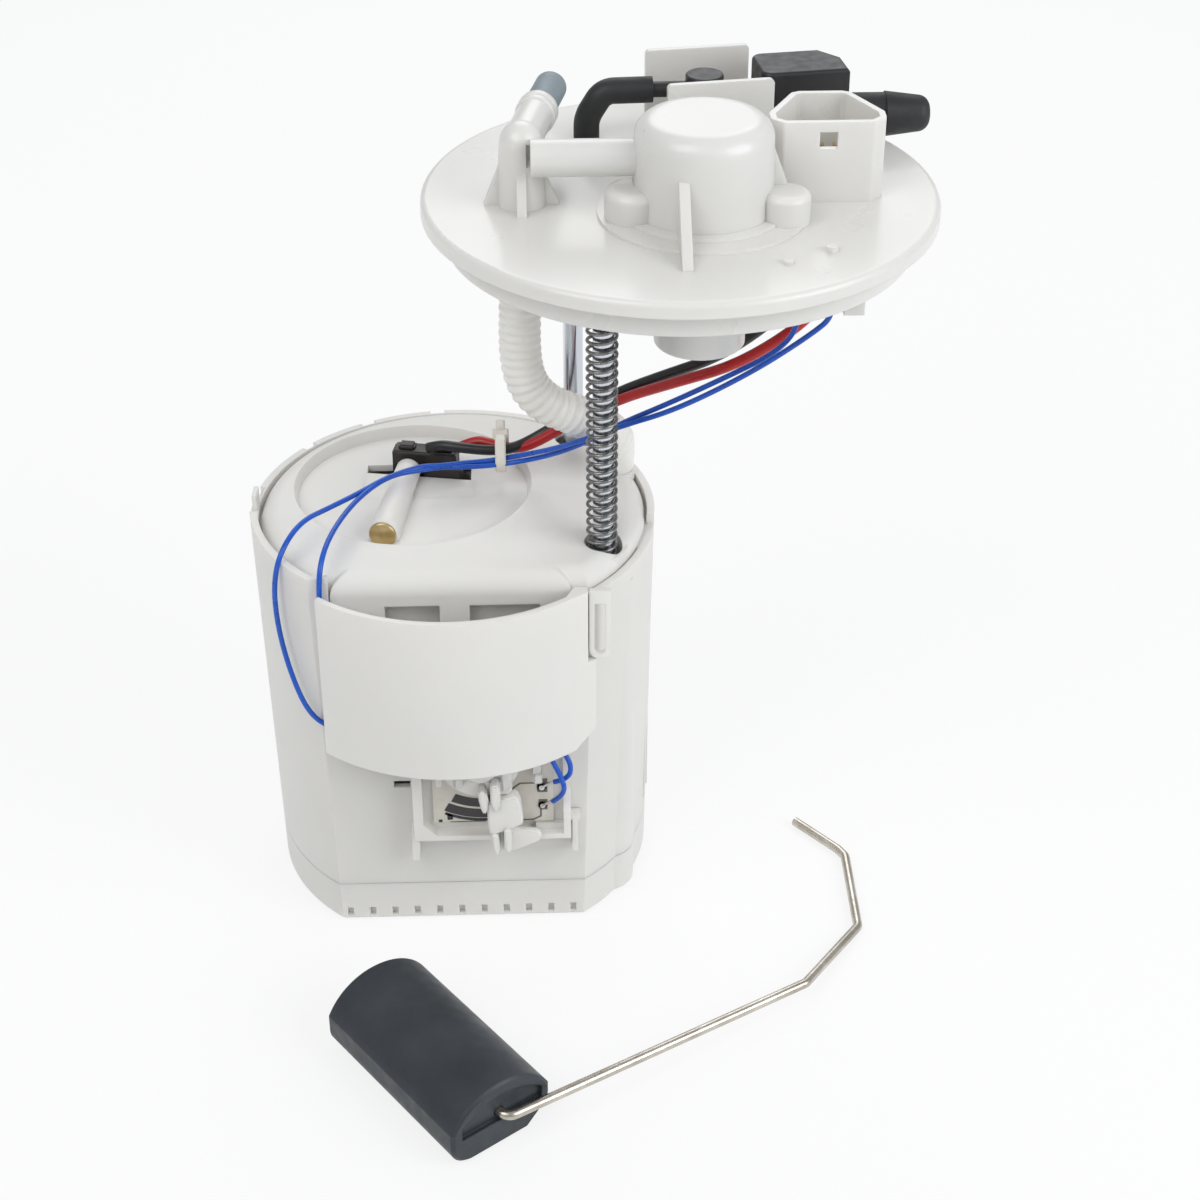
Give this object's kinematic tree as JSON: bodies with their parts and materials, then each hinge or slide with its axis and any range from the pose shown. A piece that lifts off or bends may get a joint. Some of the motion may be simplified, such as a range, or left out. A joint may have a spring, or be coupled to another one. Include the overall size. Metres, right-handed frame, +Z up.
{
  "type": "in-tank fuel pump module",
  "caption": "In-tank fuel pump module: white reservoir pot with lid, sprung round flange on two guide rods, level sender and separate float arm.",
  "frame": {"origin": "centre of the pot's round outline on the face that it stands on", "axes": "+Z up along the pot's axis and the guide rods, +X towards the side that the flange overhangs, +Y to the back, away from the flat front panel with the level sender"},
  "size_m": [0.1814, 0.2044, 0.222],
  "materials": {
    "white_plastic": "natural unpigmented acetal, slightly translucent",
    "milky_hose": "translucent nylon, yellowed at the top",
    "black_plastic": "moulded, fine grain",
    "black_rubber": "satin",
    "cap_blue_grey": "satin",
    "float_foam": "closed cell rubber with a smooth skin",
    "zinc_steel": "bright zinc plated",
    "spring_steel": "drawn spring wire",
    "brass": "stamped",
    "ceramic": "fired alumina card",
    "track_ink": "printed resistor ink",
    "solder_tin": "tinned",
    "black_wire": "insulation",
    "red_wire": "insulation",
    "blue_wire": "insulation",
    "tan_plastic": "nylon",
    "filter_paper": "pleated paper",
    "magnet": "ferrite",
    "carbon": "pressed carbon"
  },
  "bodies": {
    "pot": {"reservoir": "white_plastic", "reservoir_base": "white_plastic", "reservoir_lid": "white_plastic", "duct_plug": "brass", "wire_guard": "white_plastic", "lid_latch": "white_plastic", "filter_canister": "white_plastic", "filter_element": "filter_paper", "canister_seal": "black_rubber", "pump_case": "zinc_steel", "pump_inlet_cover": "black_plastic", "pump_end_cap": "black_plastic", "motor_magnets": "magnet", "carbon_brushes": "carbon", "pump_terminals": "brass", "pump_isolator": "black_rubber", "outlet_check_spring": "spring_steel", "inlet_strainer": "filter_paper", "jet_pump_nozzle": "white_plastic", "pump_connector": "black_plastic", "cable_tie": "tan_plastic", "sender_frame": "white_plastic", "resistor_card": "ceramic", "resistor_tracks": "track_ink", "sender_terminals": "solder_tin", "rod_spring": "spring_steel", "corrugated_hose": "milky_hose", "black_lead": "black_wire", "red_lead": "red_wire", "blue_lead_left": "blue_wire", "blue_lead_right": "blue_wire"},
    "flange_unit": {"flange": "white_plastic", "flange_terminals": "brass", "lead_plug": "black_plastic", "front_rod": "zinc_steel", "rear_rod": "zinc_steel", "rod_clips": "spring_steel", "regulator_bowl": "white_plastic", "regulator_seat": "brass", "vapour_hose": "black_rubber", "vent_valve": "black_plastic", "valve_cap": "black_plastic", "sensor_housing": "black_plastic", "sensor_boot": "black_rubber", "regulator_spring": "spring_steel"},
    "cap_on_spigot": {"dust_cap": "cap_blue_grey"},
    "wiper": {"wiper_hub": "white_plastic", "wiper_contact": "brass"},
    "rotor": {"pump_armature": "spring_steel", "pump_impeller": "black_plastic"},
    "check_valve": {"outlet_check_valve": "white_plastic"},
    "regulator_plate": {"regulator_diaphragm": "black_rubber"},
    "umbrella_valve": {"inlet_valve": "black_rubber"},
    "arm": {"float_arm": "zinc_steel", "float_clip": "zinc_steel"},
    "float_on_arm": {"float_body": "float_foam"}
  },
  "joints": [
    {"name": "flange_slide", "type": "slide", "parent": "pot", "child": "flange_unit", "axis": [0, 0, 1], "range_m": [-0.048, 0], "stiffness_N_per_m": 300, "springref_m": 0.03, "deforming": ["rod_spring", "corrugated_hose", "black_lead", "red_lead", "blue_lead_left", "blue_lead_right"]},
    {"name": "dust_cap_pull", "type": "slide", "parent": "flange_unit", "child": "cap_on_spigot", "axis": [0.2079, 0.9781, 0], "range_m": [0, 0.018]},
    {"name": "wiper_hinge", "type": "hinge", "parent": "pot", "child": "wiper", "pos_m": [0.006, -0.046, 0.0595], "axis": [0, -1, 0], "range_deg": [-36, 24]},
    {"name": "pump_shaft", "type": "hinge", "parent": "pot", "child": "rotor", "pos_m": [-0.011, 0.0095, 0.06], "axis": [0, 0, 1], "continuous": true},
    {"name": "outlet_check", "type": "slide", "parent": "pot", "child": "check_valve", "axis": [0, 0, 1], "range_m": [0, 0.002], "stiffness_N_per_m": 60, "springref_m": -0.001, "deforming": ["outlet_check_spring"]},
    {"name": "regulator_lift", "type": "slide", "parent": "flange_unit", "child": "regulator_plate", "axis": [0, 0, 1], "range_m": [0, 0.001], "stiffness_N_per_m": 2000, "springref_m": -0.005, "deforming": ["regulator_spring"]},
    {"name": "inlet_lift", "type": "slide", "parent": "pot", "child": "umbrella_valve", "axis": [0, 0, 1], "range_m": [0, 0.001], "stiffness_N_per_m": 30, "springref_m": -0.0005},
    {"name": "arm_lift", "type": "slide", "parent": "pot", "child": "arm", "axis": [0, 0, 1], "range_m": [0, 0.06]},
    {"name": "float_pivot", "type": "hinge", "parent": "arm", "child": "float_on_arm", "pos_m": [0.012, -0.1265, 0.01], "axis": [-0.5977, 0.8017, 0], "continuous": true}
  ]
}
